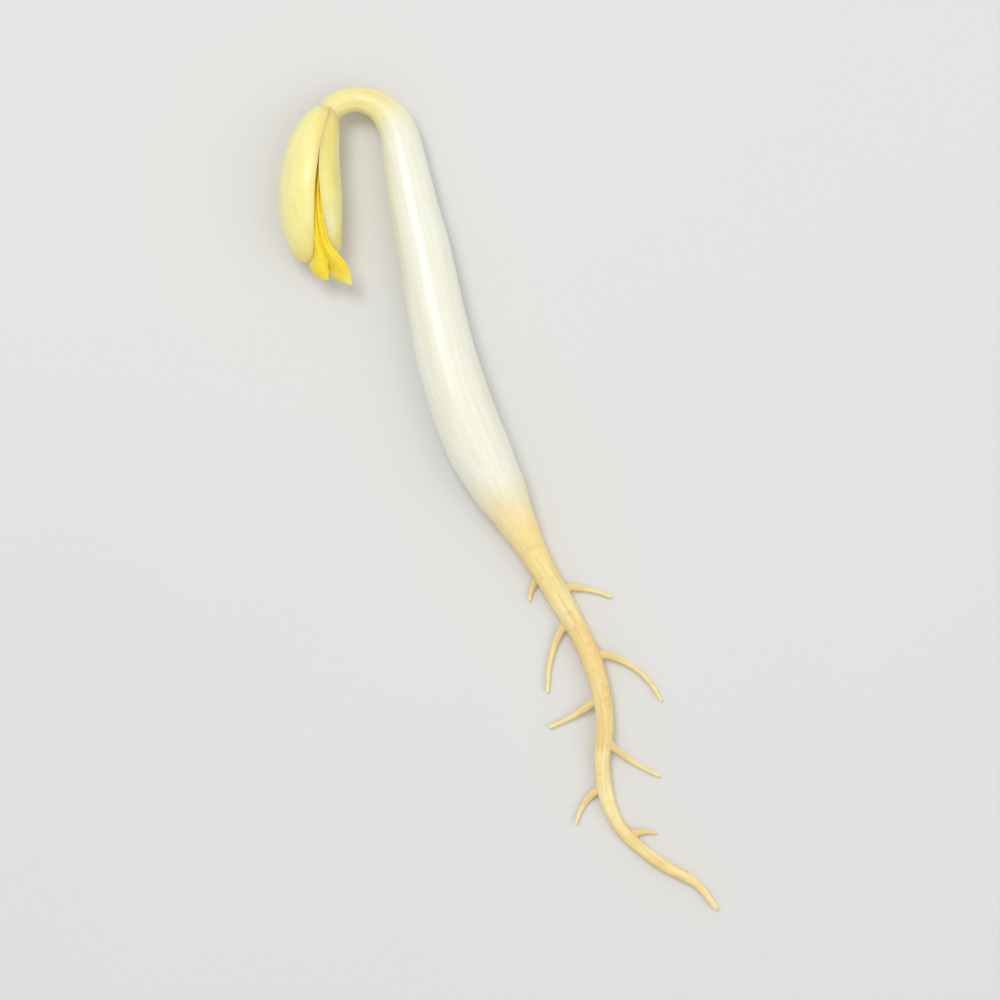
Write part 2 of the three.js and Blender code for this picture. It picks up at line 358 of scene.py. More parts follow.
def next_ring(before, after):
    """Extrudes the end of a skin to the next ring, and turns and resizes it there."""
    step = {"value": after.middle - before.middle}
    bpy.ops.mesh.extrude_region_move(TRANSFORM_OT_translate=step)
    turn_selection(before, after)
    bpy.ops.transform.resize(
        value=(after.wide / before.wide, after.high / before.high, 1),
        orient_matrix=after.matrix(),
        orient_matrix_type="GLOBAL",
        orient_type="GLOBAL",
        center_override=after.middle,
    )


def apply_modifier(piece, kind, **settings):
    modifier = piece.modifiers.new(kind.lower(), kind)
    for name, value in settings.items():
        setattr(modifier, name, value)
    bpy.context.view_layer.objects.active = piece
    bpy.ops.object.modifier_apply(modifier=modifier.name)


def ring_by_ring(name, rings, sides, shape=None, levels=2):
    """Extrudes a circle, shaped first, through all the rings, and smooths the skin."""
    piece = start_ring(name, rings[0], sides, shape)
    bpy.ops.object.mode_set(mode="EDIT")
    bpy.ops.mesh.select_all(action="SELECT")
    for before, after in zip(rings, rings[1:]):
        next_ring(before, after)
    bpy.ops.mesh.select_all(action="SELECT")
    bpy.ops.mesh.normals_make_consistent(inside=False)
    bpy.ops.object.mode_set(mode="OBJECT")
    apply_modifier(piece, "SUBSURF", levels=levels, render_levels=levels)
    print(name, "has", len(piece.data.polygons), "faces")
    return piece


stem = ring_by_ring("stem", stem_rings, STEM_SIDES)

# %% [markdown]
# ## The grain of a piece
#
# Streaks, wrinkles and colour changes follow a stem round its bends. A pattern on plain object
# coordinates would run straight across the bends instead, and a UV map would need a seam. So
# each point of a piece gets a note of where it would be if its run were pulled straight: how far
# to the side, how far up and how far along. The notes are kept on the mesh as an attribute
# called grain, which both the sculpting and the finishes read.

# %% Read and write the points of a piece
def points_of(piece):
    flat = np.empty(len(piece.data.vertices) * 3, np.float32)
    piece.data.vertices.foreach_get("co", flat)
    return flat.reshape(-1, 3)


def place_points(piece, points):
    piece.data.vertices.foreach_set("co", points.astype(np.float32).ravel())
    piece.data.update()


def note_on_points(piece, name, kind, field, values):
    note = piece.data.attributes.new(name, kind, "POINT")
    note.data.foreach_set(field, values.astype(np.float32).ravel())


print("the stem has", len(points_of(stem)), "points")

# %% Pull a run straight
SAMPLES_ALONG = 360


def straightened(run, points):
    """How far points are from a run's skin, and where they would be along a straight run."""
    shares = even_shares(SAMPLES_ALONG)
    line = np.array([run.at(share) for share in shares])
    halves = np.array([run.half(share) for share in shares])
    sides, ups = (np.array(axis) for axis in zip(*(run.axes(share) for share in shares)))
    ahead = np.gradient(line, axis=0)
    ahead /= np.linalg.norm(ahead, axis=1)[:, None]
    steps = np.linalg.norm(np.diff(line, axis=0), axis=1)
    lengths = np.concatenate([[0], np.cumsum(steps)])
    apart = (points**2).sum(1)[:, None] + (line**2).sum(1) - 2 * points @ line.T
    near = apart.argmin(1)
    off = points - line[near]
    across = (off * sides[near]).sum(1)
    height = (off * ups[near]).sum(1)
    along = lengths[near] + (off * ahead[near]).sum(1)
    reach = np.sqrt(np.maximum(apart.min(1), 0)) - halves[near]
    return reach, np.stack([across, height, along], 1), along / lengths[-1]


_, peg_grain, _ = straightened(peg, np.array([[0.5, 4.0, 1.0]]))
print("side, up and along of a point beside the peg:", peg_grain[0].round(2))

# %% Note the grain of the stem
def note_grain(piece, runs):
    """Notes on each point its grain and its share of the nearest run, and says which run."""
    points = points_of(piece).astype(float)
    reaches, grains, shares = zip(*(straightened(run, points) for run in runs))
    number = np.argmin(reaches, axis=0)
    grain = np.choose(number[:, None], grains)
    share = np.choose(number, shares)
    note_on_points(piece, "grain", "FLOAT_VECTOR", "vector", grain)
    note_on_points(piece, "run_share", "FLOAT", "value", share)
    print(piece.name, "reaches", round(grain[:, 2].max(), 1), "mm along its grain")
    return grain, share, number


stem_grain, stem_share, _ = note_grain(stem, [stem_run])

# %% [markdown]
# ## Relief in layers
#
# A plant's surface has relief at several sizes at once. The stem's thickness wanders because it
# grew in a tray full of others, it has slight lumps, and the bundles of fibres under its skin
# show as faint lengthwise ridges. Sculpting by hand would take a brush for each. Here each is a
# layer of smooth noise in the grain, and every point moves along its normal by their sum. What
# would reach below the surface is then pressed flat on it.

# %% Layers of ripples
SEED_TURN = 2.7  # moves the third axis away from the other two
STEM_RELIEF = (
    # height in mm, size in mm, stretch to the side, up and along, seed
    (0.045, 5.0, (0.5, 0.5, 1), 3),
    (0.02, 1.3, (1, 1, 0.45), 11),
    (0.014, 0.42, (1, 1, 0.06), 7),
)


def ripple(place, stretch, size, seed):
    """Smooth noise from -1 to 1, drawn out by stretch and with features of about size mm."""
    x, y, z = (p * s / size for p, s in zip(place, stretch))
    return noise.noise(Vector((x + seed, y - seed, z + SEED_TURN * seed)))


def relief(place, layers):
    return sum(
        height * ripple(place, stretch, size, seed) for height, size, stretch, seed in layers
    )


print("relief on the stem's line, 9 mm along it:", round(relief((0, 0, 9), STEM_RELIEF), 4), "mm")

# %% Sculpt the stem
COLLAR_RELIEF = ((0.022, 0.35, (0.4, 0.4, 1), 5),)
COLLAR_START = 0.8  # share of the stem from which the collar's wrinkles grow
STEM_JOINT = (0.95, 0.995)  # shares over which the relief fades, so that stem and root meet


def sculpt(piece, height, *notes):
    """Moves each point along its normal by height(note, ...), in mm."""
    points = points_of(piece)
    normals = np.empty(points.size, np.float32)
    piece.data.vertex_normals.foreach_get("vector", normals)
    heights = np.array([height(*values) for values in zip(*notes)])
    points += normals.reshape(-1, 3) * heights[:, None]
    place_points(piece, points)
    print(piece.name, "relief in mm:", round(heights.min(), 3), "to", round(heights.max(), 3))


def press_on_surface(piece):
    """Flattens what would reach below the surface, as soft tissue does where it lies."""
    points = points_of(piece)
    points[:, 2] = np.maximum(points[:, 2], 0)
    place_points(piece, points)


def stem_height(place, share):
    wrinkled = max(0.0, share - COLLAR_START) / (1 - COLLAR_START)
    height = relief(place, STEM_RELIEF) + wrinkled * relief(place, COLLAR_RELIEF)
    return height * (1 - eased(share, *STEM_JOINT))


sculpt(stem, stem_height, stem_grain, stem_share)
press_on_surface(stem)

# %% [markdown]
# ## The tap root
#
# The tap root goes on from the stem's end, a third as thick, and waves as it searches for a way
# down. It is made as the stem is, with fewer sides, as a tube a millimetre thick needs no more.

# %% Extrude the tap root
ROOT_STATIONS = (
    # x, y, diameter, lift of the underside, from the collar to the tip
    (5.3, -10.2, 1.56, 0.08),
    (6.15, -11.75, 1.34, 0.06),
    (7.5, -14.05, 1.18, 0),
    (8.7, -16.5, 1.1, 0.12),
    (9.35, -19.4, 0.98, 0.3),
    (9.2, -22.2, 0.86, 0.16),
    (9.95, -25.0, 0.76, 0),
    (12.1, -27.1, 0.66, 0.05),
    (14.2, -28.3, 0.52, 0.12),
    (15.3, -29.6, 0.36, 0.1),
)
ROOT_SIDES = 12
ROOT_RINGS = 90
ROOT_START = 0.004  # share of the root where its first full ring is

root_run = Run(ROOT_STATIONS)
root_rings = round_rings(root_run, even_shares(ROOT_RINGS, ROOT_START))
root = ring_by_ring("tap_root", root_rings, ROOT_SIDES, levels=1)

# %% [markdown]
# ## The rootlets
#
# Short rootlets leave the tap root to both sides, arch out and come down. A rootlet grows out
# through the root's rind, so its foot swells a little. Tubes that only cross each other would
# show a hard crease there. They are therefore joined, remeshed into one skin and smoothed, which
# rounds the feet.

# %% Plan the rootlets
ROOTLETS = (
    # share of the tap root, side (+1 is +X), length in mm, degrees between it and the tap root,
    # change of that angle from foot to tip
    (0.1, -1, 1.8, 66, -34),
    (0.15, 1, 3.1, 60, -28),
    (0.22, -1, 4.3, 58, -36),
    (0.31, 1, 4.9, 56, -62),
    (0.4, -1, 3.3, 60, 24),
    (0.49, 1, 3.6, 54, 22),
    (0.59, -1, 2.6, 64, -48),
    (0.7, 1, 1.6, 58, -20),
)
ROOTLET_ACROSS = 0.44
ROOTLET_TIP_SHARE = 0.5  # of its thickness at the foot
ROOTLET_CLEARANCE = 0.02  # above the surface
ROOTLET_SPANS = 4


def rootlet_run(at, hand, length, lean, curl):
    """A rootlet leaves the middle of the tap root, arches out and comes down to lie low."""
    place, along = root_run.at(at), root_run.along(at)
    sideways = root_run.level_side(at)
    stations = []
    for share in even_shares(ROOTLET_SPANS + 1):
        across = ROOTLET_ACROSS * (1 - share * (1 - ROOTLET_TIP_SHARE))
        height = max(ROOTLET_ACROSS / 2, place.z * (1 - share))
        stations.append((place.x, place.y, across, height - across / 2 + ROOTLET_CLEARANCE))
        turn = math.radians(lean + curl * share)
        way = along * math.cos(turn) + sideways * hand * math.sin(turn)
        place = place + way * length / ROOTLET_SPANS
    return Run(stations)


rootlet_runs = [rootlet_run(*rootlet) for rootlet in ROOTLETS]
print("rootlets in mm:", [round(run.length(), 1) for run in rootlet_runs])

# %% Extrude the rootlets
ROOTLET_SIDES = 8
ROOTLET_RINGS = 24

rootlets = [
    ring_by_ring("rootlet", round_rings(run, even_shares(ROOTLET_RINGS)), ROOTLET_SIDES, levels=1)
    for run in rootlet_runs
]

# %% Join the root's tubes into one skin and smooth their feet
SKIN_GRAIN = 0.055  # side of the remeshed faces, in mm
FOOT_SMOOTHING = 10

bpy.ops.object.select_all(action="DESELECT")
for tube in rootlets + [root]:
    tube.select_set(True)
bpy.context.view_layer.objects.active = root
bpy.ops.object.join()
apply_modifier(root, "REMESH", mode="VOXEL", voxel_size=SKIN_GRAIN)
apply_modifier(root, "SMOOTH", factor=0.5, iterations=FOOT_SMOOTHING)
print(root.name, "has", len(root.data.polygons), "faces")

# %% [markdown]
# ## The root's wrinkles
#
# The rind is drier than the stem, so it is wrinkled round and folded lengthwise. The grain is
# noted after the remesh, which would drop it, and each point reads the run nearest to it. The
# wrinkles start from nothing at the collar, so that the root meets the stem.

# %% Sculpt the root's wrinkles
ROOT_RELIEF = (
    # height, size, stretch, seed
    (0.014, 0.4, (0.7, 0.7, 1), 4),
    (0.02, 0.22, (1, 1, 0.12), 9),
    (0.045, 1.8, (0.4, 0.4, 1), 2),
)
ROOTLET_STRENGTH = 0.45  # share of the relief that a rootlet has
ROOT_JOINT = (0.0, 0.06)  # shares over which the relief grows from nothing


def root_height(place, share, number):
    strength = ROOTLET_STRENGTH if number else eased(share, *ROOT_JOINT)
    return strength * relief(place, ROOT_RELIEF)


root_grain, root_share, root_number = note_grain(root, [root_run] + rootlet_runs)
sculpt(root, root_height, root_grain, root_share, root_number)
press_on_surface(root)

# %% [markdown]
# ## The seed leaves
#
# The two seed leaves are the halves of the bean, each with a full round back and a flat, slightly
# hollow inner face. The pair lies on its side under the hook and the seam between them faces up.
# Nearest the stem they still touch, and they part towards their free end. A ball cut in half
# would have a sharp rim. Here one side of the circle is squashed to a shallow hollow before it
# is extruded along the pair's axis, and subdivision then rounds the rim.

# %% Lay out the pair
PAIR_HEIGHT = 1.83  # of the pair's axis above the surface
PAIR_ROLL = 12  # degrees that the seam leans to +X
PAIR_AXIS = ((-5.25, 13.05), (-6.03, 10.5), (-6.14, 7.6), (-5.78, 4.8))
BASE_GAP = 0.04  # between the inner faces, in mm
SPREAD = math.radians(3.0)  # how far each has turned out by the free end
PARTING = 2.4  # higher keeps the seed leaves together for longer
HUG = 0.07  # how far each is pressed towards the other while they touch, in mm
HUG_SHARES = (0.36, 0.64)  # shares of the length over which the touching rims let go


def level_run(plan):
    """A run at the height of the pair's axis, turned by the pair's roll."""
    return Run([(x, y, 0, PAIR_HEIGHT) for x, y in plan], PAIR_ROLL)


def stand_off(share):
    """How far an inner face is from the pair's middle, below 0 where the rims press together."""
    apart = BASE_GAP / 2 + share**PARTING * pair_run.length() * math.tan(SPREAD)
    return apart - HUG * (1 - eased(share, *HUG_SHARES))


pair_run = level_run(PAIR_AXIS)
print("from stalk to free end:", [round(stand_off(share), 2) for share in even_shares(5)], "mm")

# %% Extrude the half beans
HANDS = {"left": -1, "right": 1}
BACKS = {"left": 1.66, "right": 1.42}  # from the inner face to the crown of the back
SEED_LEAF_WIDTH = 3.76
SEED_LEAF_LEAN = 1.06  # above 1 the widest place is nearer the free end
SEED_LEAF_FULLNESS = 0.37  # lower makes the ends blunter
INNER_HOLLOW = 0.07
SEED_LEAF_SIDES = 28
SEED_LEAF_RINGS = 34
HAIR = 1e-4  # places nearer to each other than this count as level


def half_bean_outline(side):
    """Squashes the inner half of the circle to a shallow hollow."""

    def shape(piece):
        mesh = bmesh.from_edit_mesh(piece.data)
        for vertex in mesh.verts:
            vertex.select_set(vertex.co.x * HANDS[side] < -HAIR)
        mesh.select_flush_mode()
        squash = (-INNER_HOLLOW / BACKS[side], 1, 1)
        bpy.ops.transform.resize(value=squash, center_override=(0, 0, 0))

    return shape


def seed_leaf(side):
    rings = []
    for share in crowded_shares(SEED_LEAF_RINGS):
        sideways, up = pair_run.axes(share)
        bulge = math.sin(math.pi * share**SEED_LEAF_LEAN) ** SEED_LEAF_FULLNESS
        middle = pair_run.at(share) + sideways * HANDS[side] * stand_off(share)
        high = SEED_LEAF_WIDTH / 2 * bulge
        rings.append(Ring(middle, (sideways, up), BACKS[side] * bulge, high))
    return ring_by_ring("seed_leaf_" + side[0], rings, SEED_LEAF_SIDES, half_bean_outline(side))


seed_leaves = {side: seed_leaf(side) for side in HANDS}

# %% [markdown]
# ## The seed leaves' dents
#
# As a seed leaf gives up its store its back dries a little, and it gets shallow dents, fine
# folds along its length and a fine grain, one layer of relief for each.

# %% Sculpt the seed leaves
SEED_LEAF_RELIEF = (
    # height, size, stretch, seed
    (0.05, 1.5, (1, 1, 0.7), 6),
    (0.016, 0.5, (1, 1, 0.3), 12),
    (0.007, 0.18, (1, 1, 0.6), 15),
)

leaf_shares = {}
for side, leaf in seed_leaves.items():
    leaf_grain, leaf_shares[side], _ = note_grain(leaf, [pair_run])
    sculpt(leaf, lambda place: relief(place, SEED_LEAF_RELIEF), leaf_grain)
    press_on_surface(leaf)

# %% [markdown]
# ## The first leaves
#
# Between the seed leaves are the first two true leaves, still folded along their midribs. Their
# bright yellow tips reach past the seed leaves. A thin sheet could be folded in two, but the
# halves lie so close that they look like one body with a groove. So each blade is a flattened
# circle with a groove pressed into its upper edge, extruded from a short stalk to a narrow tip.
# The two leave one stalk, part, and twist away from each other.

# %% Lay out the blades
BLADE_AXIS = ((-5.5, 12.2), (-6.03, 10.0), (-6.15, 7.4), (-5.68, 5.2), (-4.4, 3.25))
BLADE_SLENDERNESS = 0.7  # above 1 the blade is more pointed
BLADE_LEAN = 0.8  # below 1 the widest place is nearer the stalk
STALK_ACROSS = 0.7
STALK_SHARE = 0.04
BLADE_END_STEEPNESS = 3.2
BLADE_END_ROUNDNESS = 0.6
BLADE_END_BLEND = 0.35  # how softly the closing of an end begins


def soft_least(one, other, blend):
    """The lesser of two values, with a rounded turn where one takes over from the other."""
    near = max(0, blend - abs(one - other)) / blend
    return min(one, other) - near * near * blend / 4


def closing(share):
    """1 along the blade, and less towards either end, where it closes."""
    end = (math.sin(math.pi * share) * BLADE_END_STEEPNESS) ** BLADE_END_ROUNDNESS
    return soft_least(end, 1, BLADE_END_BLEND)


def blade_width(share, widest):
    grown = max(0, (share - STALK_SHARE) / (1 - STALK_SHARE))
    spread = math.sin(math.pi * grown**BLADE_LEAN) ** BLADE_SLENDERNESS
    return (STALK_ACROSS + (widest - STALK_ACROSS) * spread) * closing(share)


blade_run = level_run(BLADE_AXIS)
print("widths of a blade:", [round(blade_width(share, 3), 2) for share in crowded_shares(7)])

# %% Extrude the folded blades
BLADE_THICKNESS = 0.66
BLADES_PART = (0.1, 0.35)  # shares of the length over which they part from one stalk
BLADES_FREE = (0.7, 1)  # shares of the length over which they drift and twist
FOLD_DEPTH = 0.3
BLADE_SIDES = 20
BLADE_RINGS = 44


def fold_outline(piece):
    """Presses the top of the circle in, between the blade's two halves."""
    mesh = bmesh.from_edit_mesh(piece.data)
    highest = max(vertex.co.y for vertex in mesh.verts)
    for vertex in mesh.verts:
        vertex.select_set(vertex.co.y > highest - HAIR)
    mesh.select_flush_mode()
    bpy.ops.transform.translate(value=(0, -FOLD_DEPTH, 0))


def blade(name, shift, rise, reach, width, drift, twist):
    """A blade set off from the axis by shift and rise, with a tip that drifts and twists."""
    rings = []
    for share in crowded_shares(BLADE_RINGS):
        place = share * reach
        side, up = blade_run.axes(place)
        parted, free = eased(share, *BLADES_PART), eased(share, *BLADES_FREE)
        middle = blade_run.at(place) + (side * shift + up * rise) * parted
        middle += blade_run.level_side(place) * drift * free
        axes = blade_run.axes(place, math.radians(twist) * free)
        wide = BLADE_THICKNESS * closing(share) / 2
        rings.append(Ring(middle, axes, wide, blade_width(share, width) / 2))
    return ring_by_ring(name, rings, BLADE_SIDES, fold_outline)


blades = [
    blade("first_leaf_long", shift=0.2, rise=0.34, reach=1, width=2.9, drift=0.12, twist=30),
    blade("first_leaf_short", shift=-0.22, rise=0.32, reach=0.9, width=2.7, drift=-0.3, twist=44),
]

# %% [markdown]
# ## The blades' veins
#
# Side veins leave the midrib at a slant, and the leaf is puckered a little between them. There
# are dozens, too many to extrude by hand. A sine wave over the grain raises them all, and noise
# bends them, because no two are alike.

# %% Sculpt the blades
VEIN_SPACING = 0.44
VEIN_SLANT = 0.9  # how far along the blade a vein runs for each mm that it rises
VEIN_HEIGHT = 0.012
VEIN_BEND = ((0.15, 0.8, (1, 1, 1), 8),)
PUCKERS = ((0.03, 0.9, (1, 1, 0.6), 14),)


def blade_height(place):
    _, up, along = place
    slant = along - up * VEIN_SLANT + relief(place, VEIN_BEND)
    crest = max(math.sin(math.tau * slant / VEIN_SPACING), 0)
    return VEIN_HEIGHT * crest**3 + relief(place, PUCKERS)


for one in blades:
    blade_grain, _, _ = note_grain(one, [blade_run])
    sculpt(one, blade_height, blade_grain)

# %% [markdown]
# ## Room between the seed leaves
#
# The seed leaves hold the first leaves between them, and they are soft, so their inner faces are
# pressed hollow there. A Boolean would cut a hollow with hard edges. Here a ray from each point
# of a seed leaf finds out whether the point lies inside a blade, and the point is moved out to
# just past the blade's skin, as long as a thin shell of seed leaf is left outside it. The
# points that moved are then evened out, as skin stays even where it is pressed.

# %% Find the points that lie inside a blade
HELD_CLEARANCE = 0.02  # between a blade and the seed leaf that holds it
LEAST_SHELL = 0.14  # of seed leaf that stays outside a blade, in mm


def skins(*pieces):
    graph = bpy.context.evaluated_depsgraph_get()
    return [BVHTree.FromObject(piece, graph) for piece in pieces]


def depth_inside(skin, start, sideways):
    """How far a point inside a skin is from leaving it sideways, and 0 for a point outside."""
    _, normal, _, far = skin.ray_cast(start, sideways)
    if not normal or normal.dot(sideways) < 0 or far > SEED_LEAF_WIDTH / 2:
        return 0
    return far


depth = depth_inside(skins(blades[0])[0], pair_run.at(0.5), pair_run.axes(0.5)[0])
print("the middle of the pair is", round(depth, 2), "mm inside the long blade")

# %% Press the first leaves into the seed leaves
PRESS_SMOOTHING = 6


def press_into(side, held):
    """Moves a seed leaf's points out of a blade, and says which points moved."""
    leaf = seed_leaves[side]
    blade_skin, leaf_skin = skins(held, leaf)
    points = points_of(leaf)
    moved = set()
    for number, share in enumerate(leaf_shares[side]):
        start = Vector(points[number])
        sideways = pair_run.axes(share)[0] * HANDS[side]
        depth = depth_inside(blade_skin, start, sideways)
        if depth:
            _, _, _, room = leaf_skin.ray_cast(start + sideways * HELD_CLEARANCE, sideways)
            if room:
                push = min(depth + HELD_CLEARANCE, room - LEAST_SHELL)
                points[number] = start + sideways * max(0, push)
                moved.add(number)
    place_points(leaf, points)
    print(leaf.name, "is pressed hollow at", len(moved), "points by", held.name)
    return moved


def smooth_points(piece, chosen):
    bpy.ops.object.select_all(action="DESELECT")
    bpy.context.view_layer.objects.active = piece
    marks = [number in chosen for number in range(len(piece.data.vertices))]
    piece.data.vertices.foreach_set("select", marks)
    bpy.ops.object.mode_set(mode="EDIT")
    bpy.ops.mesh.vertices_smooth(factor=0.5, repeat=PRESS_SMOOTHING)
    bpy.ops.object.mode_set(mode="OBJECT")


for side, leaf in seed_leaves.items():
    pressed = set().union(*(press_into(side, held) for held in blades))
    smooth_points(leaf, pressed)

# %% [markdown]
# ## Shader maths as plain expressions
#
# The finishes mix many soft patterns, and written node by node they would be hard to read. So
# one small class holds a material, and one method of it adds any node. A second class wraps a
# node's output, and sums and products of such values add the Math nodes by themselves.

# %% A material, and one way to add any node
class Mixture:
    """One material: its nodes and its shader."""

    def __init__(self, name, **constants):
        self.material = bpy.data.materials.new(name)
        self.material.use_nodes = True
        self.nodes = self.material.node_tree.nodes
        self.links = self.material.node_tree.links
        self.shader = self.nodes["Principled BSDF"]
        for socket, value in constants.items():
            self.shader.inputs[socket.replace("_", " ")].default_value = value

    def fill(self, node, inputs):
        for key, value in inputs.items():
            if isinstance(value, Value):
                self.links.new(value.socket, node.inputs[key])
            else:
                node.inputs[key].default_value = value

    def add(self, kind, settings=None, inputs=None, output=0):
        """Adds any node with its settings and its inputs, and gives back one of its outputs."""
        node = self.nodes.new(kind)
        for name, setting in (settings or {}).items():
            setattr(node, name, setting)
        self.fill(node, inputs or {})
        return Value(self, node.outputs[output])

    def shade(self, **inputs):
        self.fill(self.shader, {name.replace("_", " "): value for name, value in inputs.items()})
        return self.material


trial = Mixture("trial", IOR=1.4)
print("a new material has", len(trial.nodes), "nodes")

# %% Arithmetic on the outputs of nodes
class Value:
    """The output of a node, with arithmetic that adds Math nodes."""

    def __init__(self, tree, socket):
        self.tree, self.socket = tree, socket

    def maths(self, operation, *terms):
        return self.tree.add("ShaderNodeMath", {"operation": operation}, dict(enumerate(terms)))

    def __add__(self, other):
        return self.maths("ADD", self, other)

    def __sub__(self, other):
        return self.maths("SUBTRACT", self, other)

    def __rsub__(self, other):
        return self.maths("SUBTRACT", other, self)

    def __mul__(self, other):
        return self.maths("MULTIPLY", self, other)

    __radd__, __rmul__ = __add__, __mul__

    def uneven(self, pattern, amount):
        """The value moved up and down by a pattern, so that an edge drawn on it wanders."""
        return self + (pattern - 0.5) * amount

    def wave(self, length):
        """A sine wave over the value, from -1 to 1."""
        return self.maths("SINE", self * (math.tau / length))


ending = 1 - trial.add("ShaderNodeTexNoise") * 0.5
print("1 - noise * 0.5 ends in a Math node set to", ending.socket.node.operation)
bpy.data.materials.remove(trial.material)

# %% Patterns that follow the grain
RELIEF_DEPTH = 0.00003  # of the finest relief, in m
NET_LINE = 0.09  # how far from the middle of a net's line it fades out


class Finish(Mixture):
    """A material with patterns that are measured in mm along the grain of a piece."""

    def note(self, name, output="Fac"):
        return self.add("ShaderNodeAttribute", {"attribute_name": name}, output=output)

    def grain(self, stretch=(1, 1, 1)):
        """The straightened coordinates of a piece in mm, stretched along each axis."""
        place = self.note("grain", "Vector")
        return self.add("ShaderNodeVectorMath", {"operation": "MULTIPLY"}, {0: place, 1: stretch})

    def grain_part(self, axis):
        """The grain to the side, up or along, as X, Y or Z."""
        place = self.note("grain", "Vector")
        return self.add("ShaderNodeSeparateXYZ", {}, {"Vector": place}, axis)

    def noise(self, place, size, detail=3.0):
        inputs = {"Vector": place, "Scale": 1 / size, "Detail": detail, "Roughness": 0.5}
        return self.add("ShaderNodeTexNoise", {}, inputs, "Fac")

    def net(self, place, size):
        """The lines of an uneven net with openings of about size, 1 on a line and 0 off it."""
        settings = {"feature": "DISTANCE_TO_EDGE"}
        inputs = {"Vector": place, "Scale": 1 / size}
        edge = self.add("ShaderNodeTexVoronoi", settings, inputs, "Distance")
        return 1 - self.window(edge, 0.0, NET_LINE)

    def window(self, value, start, end):
        """Rises smoothly from 0 at start to 1 at end."""
        settings = {"interpolation_type": "SMOOTHSTEP"}
        inputs = {"Value": value, "From Min": start, "From Max": end}
        return self.add("ShaderNodeMapRange", settings, inputs, "Result")

    def blend(self, share, first, second):
        inputs = {0: share, 6: first, 7: second}
        return self.add("ShaderNodeMix", {"data_type": "RGBA"}, inputs, 2)

    def tint(self, skin, paint, pattern, between, amount):
        """Lays a paint on a skin where a pattern rises through two values, up to an amount."""
        return self.blend(self.window(pattern, *between) * amount, skin, paint)

    def bump(self, height, strength=0.7):
        inputs = {"Height": height, "Distance": RELIEF_DEPTH, "Strength": strength}
        return self.add("ShaderNodeBump", {}, inputs, "Normal")


def colour(code):
    """A colour written as six hex digits, as the shader's own light values."""
    levels = [int(code[i : i + 2], 16) / 255 for i in (0, 2, 4)]
    light = [c / 12.92 if c <= 0.04045 else ((c + 0.055) / 1.055) ** 2.4 for c in levels]
    return (*light, 1.0)


print("middle grey gives", round(colour("808080")[0], 3), "of the light")

# %% [markdown]
# ## The stem's finish
#
# The stem is nearly all water under a thin clear skin, so light goes in, scatters and comes out
# again, and the skin glistens. It never saw light and is ivory white. The hook is a little
# yellow, the end towards the root is cream and then tan, and the fibres under the skin show as
# faint lines. A glossy white alone would look like plastic. Subsurface scattering gives the
# depth, a thin coat gives the gloss, and soft patterns in the grain give the fibres.

# %% Finish the stem
STEM_WHITE = colour("EFF0E1")
STEM_FIBRE = colour("E8E1C4")
HOOK_YELLOW = colour("F2E38E")
HOOK_FIBRE = colour("E8D27A")
COLLAR_TAN = colour("F9E098")
# darker tan: painted shade of the rind's folds, laid by noise patterns
ROOT_FOLD_SHADE = colour("D3A763")


def wear(piece, material):
    piece.data.materials.append(material)
    print(piece.name, "wears", material.name, "of", len(material.node_tree.nodes), "nodes")


finish = Finish(
    "stem_skin",
    Subsurface_Weight=0.45,
    Subsurface_Radius=(1.0, 0.88, 0.65),
    Subsurface_Scale=0.001,
    Coat_Roughness=0.17,
    IOR=1.38,
)
share = finish.note("run_share")
fibres = finish.noise(finish.grain((1, 1, 0.03)), size=0.22, detail=2)
clouds = finish.noise(finish.grain((1, 1, 0.25)), size=1.9)
pores = finish.noise(finish.grain((1, 1, 0.5)), size=0.11, detail=2)
fold_shade_pattern = finish.noise(finish.grain((1, 1, 0.07)), size=0.14)
hook = 1 - finish.window(share.uneven(clouds, 0.05), 0.08, 0.2)
collar = finish.window(share.uneven(fibres, 0.05).uneven(clouds, 0.04), 0.82, 1.0)
skin = finish.tint(STEM_WHITE, STEM_FIBRE, fibres, between=(0.42, 0.7), amount=0.4)
skin = finish.tint(skin, STEM_FIBRE, clouds, between=(0.45, 0.75), amount=0.4)
skin = finish.blend(hook * 0.8, skin, HOOK_YELLOW)
skin = finish.tint(skin, HOOK_FIBRE, fibres, between=(0.45, 0.68), amount=hook * 0.4)
skin = finish.blend(collar * 0.95, skin, COLLAR_TAN)
# painted fold shade near the collar, in a noise pattern
skin = finish.tint(skin, ROOT_FOLD_SHADE, fold_shade_pattern, between=(0.45, 0.75), amount=collar * 0.2)
stem_skin = finish.shade(
    Base_Color=skin,
    Roughness=0.3 + collar * 0.25 + pores * 0.1,
    Coat_Weight=0.4 - collar * 0.36,
    Normal=finish.bump(fibres * 0.6 + pores * 0.25 + clouds * 0.4),
)
wear(stem, stem_skin)

# %% [markdown]
# ## The root's finish
#
# The root's rind is drier than the stem, so it is dull and has no coat. It is tan, with painted
# shade of its folds as darker tan in noisy streaks and rings, and paler towards the growing tips.
# At the collar it starts from the stem's own tan, so that no edge shows where the two pieces meet.

# %% Finish the root
ROOT_TAN = colour("F0D590")
ROOT_PALE = colour("FBECB0")

